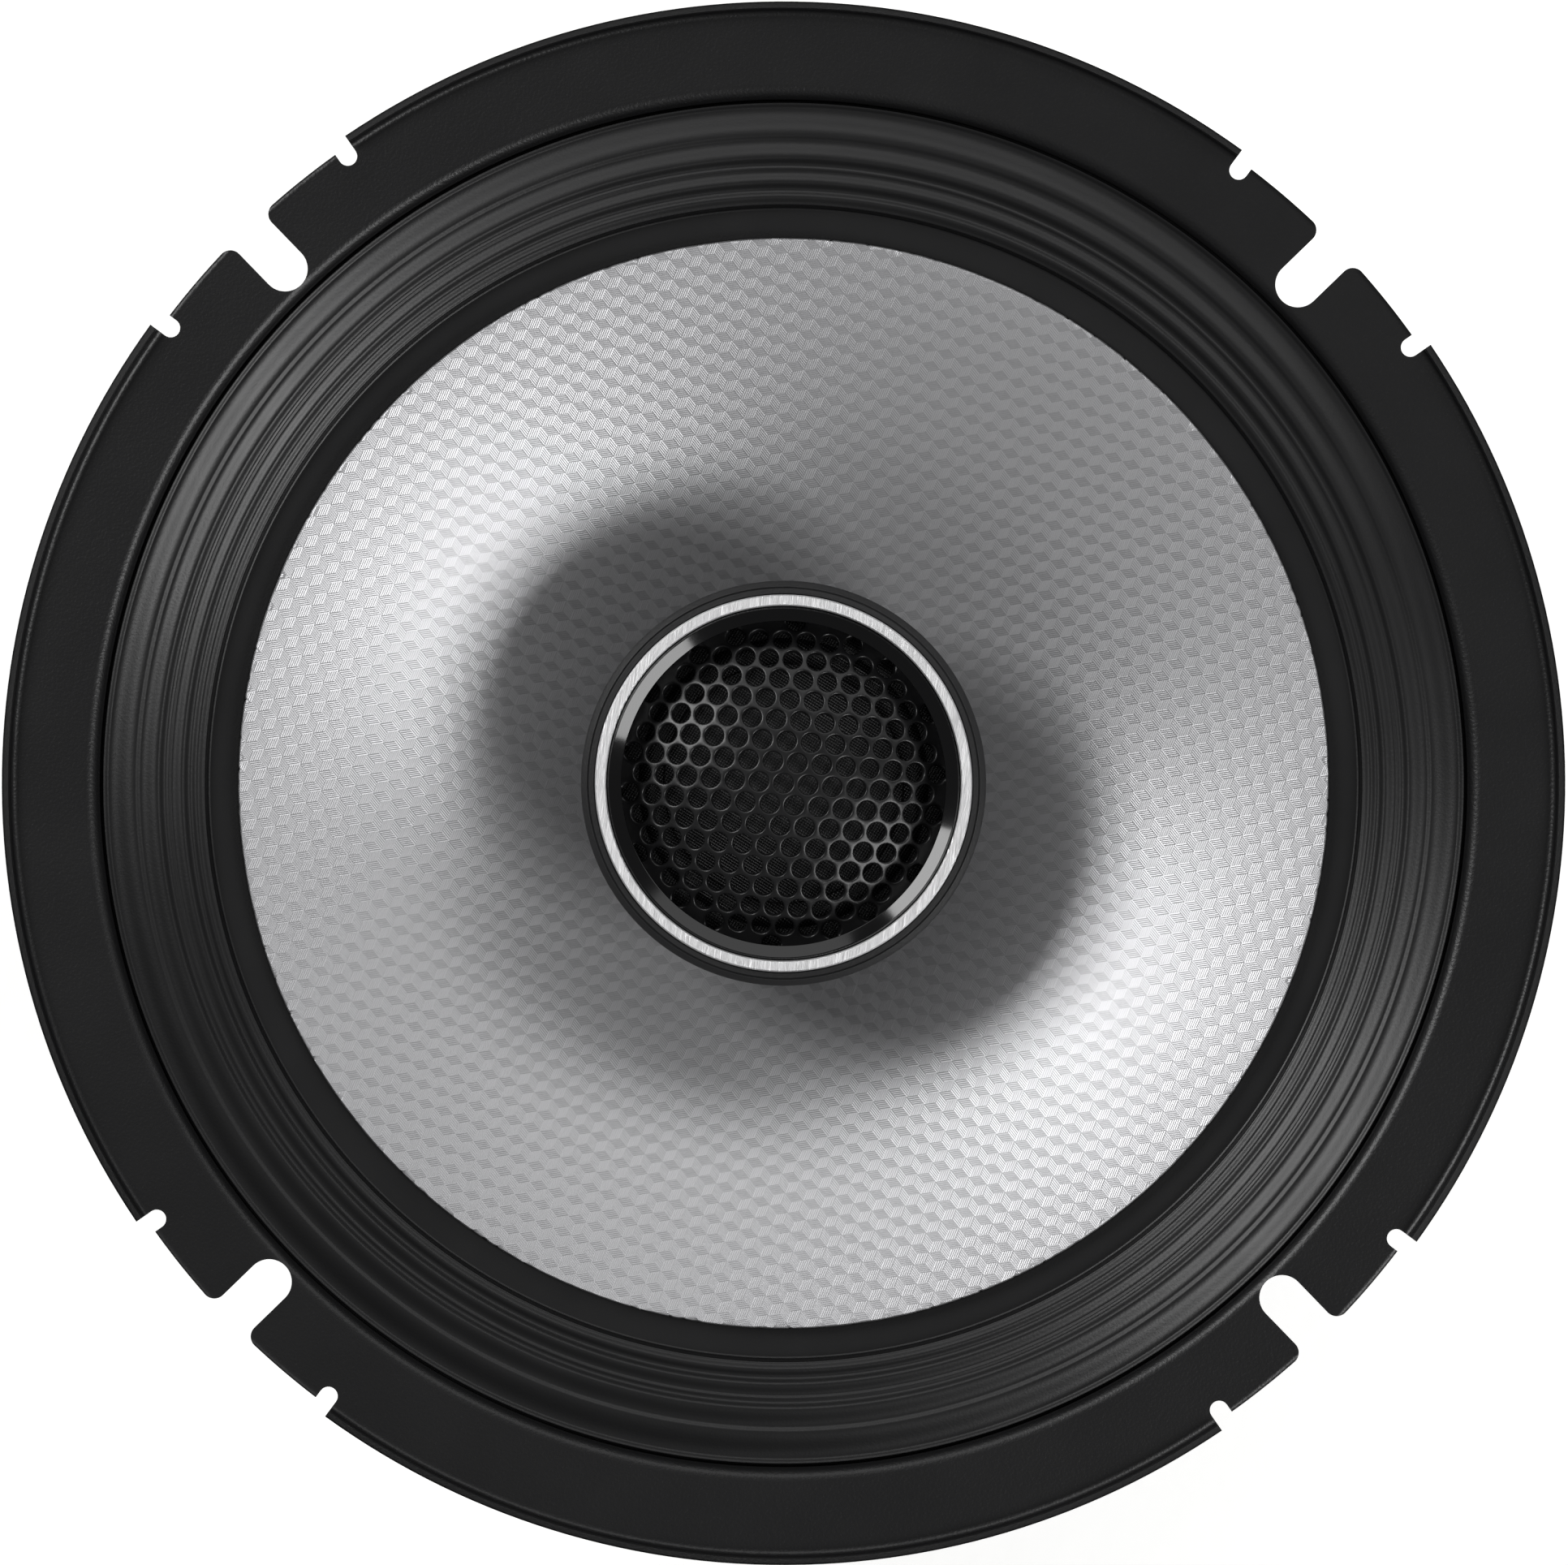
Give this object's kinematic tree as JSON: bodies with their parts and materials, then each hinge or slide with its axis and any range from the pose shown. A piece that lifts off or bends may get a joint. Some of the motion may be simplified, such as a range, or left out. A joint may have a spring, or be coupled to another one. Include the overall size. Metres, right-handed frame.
{
  "type": "coaxial car speaker",
  "caption": "Round two-way car loudspeaker: a silver woven cone in a slotted black steel basket, with a grilled dome tweeter on a central post.",
  "frame": {"origin": "centre of the rear face of the motor's yoke, on the speaker's axis", "axes": "+Z along the axis, out of the front of the cone; the terminals are on the -Y side; the screw slots are on the four diagonals between X and Y"},
  "size_m": [0.166, 0.166, 0.066],
  "materials": {
    "basket_paint": "fine textured black paint on pressed steel",
    "surround_rubber": "satin black butyl rubber",
    "cone_weave": "silver glass-fibre weave, resin bonded, metallic sheen",
    "former_aluminium": "thin rolled aluminium",
    "winding_copper": "enamelled copper wire",
    "spider_cloth": "resin-treated corrugated cloth",
    "motor_steel": "zinc-plated steel",
    "magnet_ferrite": "sintered ferrite, dull dark grey",
    "board_phenolic": "brown phenolic paper board",
    "blade_tinned": "tin-plated brass",
    "rivet_nickel": "nickel-plated steel",
    "capacitor_sleeve": "dark blue shrink sleeve",
    "lead_black": "black wire insulation",
    "lead_grey": "grey wire insulation",
    "tinsel_braid": "braided copper tinsel",
    "housing_plastic": "moulded black plastic, fine texture",
    "trim_aluminium": "brushed aluminium",
    "bezel_gloss": "polished black plastic",
    "grille_paint": "satin black paint on perforated steel",
    "dome_silk": "coated black silk"
  },
  "bodies": {
    "frame": {"basket": "basket_paint", "surround": "surround_rubber", "spider": "spider_cloth", "top_plate": "motor_steel", "ferrite_magnet": "magnet_ferrite", "yoke": "motor_steel", "motor_rivet_1": "motor_steel", "motor_rivet_2": "motor_steel", "motor_rivet_3": "motor_steel", "motor_rivet_4": "motor_steel", "terminal_board": "board_phenolic", "terminal_positive": "blade_tinned", "terminal_negative": "blade_tinned", "terminal_rivet_1": "rivet_nickel", "terminal_rivet_2": "rivet_nickel", "crossover_capacitor": "capacitor_sleeve", "capacitor_lead_1": "blade_tinned", "capacitor_lead_2": "blade_tinned", "tinsel_lead_positive": "tinsel_braid", "tinsel_lead_negative": "tinsel_braid", "tweeter_stem": "housing_plastic", "stem_washer": "motor_steel", "stem_nut": "motor_steel", "tweeter_housing": "housing_plastic", "tweeter_trim_ring": "trim_aluminium", "tweeter_bezel": "bezel_gloss", "tweeter_grille": "grille_paint", "tweeter_surround": "dome_silk", "tweeter_face_plate": "motor_steel", "tweeter_magnet": "rivet_nickel", "tweeter_pole_plate": "motor_steel", "tweeter_yoke_cup": "motor_steel", "tweeter_lead_positive": "lead_grey", "tweeter_lead_negative": "lead_black"},
    "cone_assembly": {"cone": "cone_weave", "voice_coil_former": "former_aluminium", "voice_coil_winding": "winding_copper"},
    "tweeter_diaphragm": {"tweeter_dome": "dome_silk", "tweeter_voice_coil": "winding_copper"}
  },
  "joints": [
    {"name": "cone_slide", "type": "slide", "parent": "frame", "child": "cone_assembly", "axis": [0, 0, 1], "range_m": [-0.004, 0.004], "stiffness_N_per_m": 2300, "deforming": ["surround", "spider", "tinsel_lead_positive", "tinsel_lead_negative"]},
    {"name": "tweeter_slide", "type": "slide", "parent": "frame", "child": "tweeter_diaphragm", "axis": [0, 0, 1], "range_m": [-0.0003, 0.0003], "stiffness_N_per_m": 100, "deforming": ["tweeter_surround"]}
  ]
}
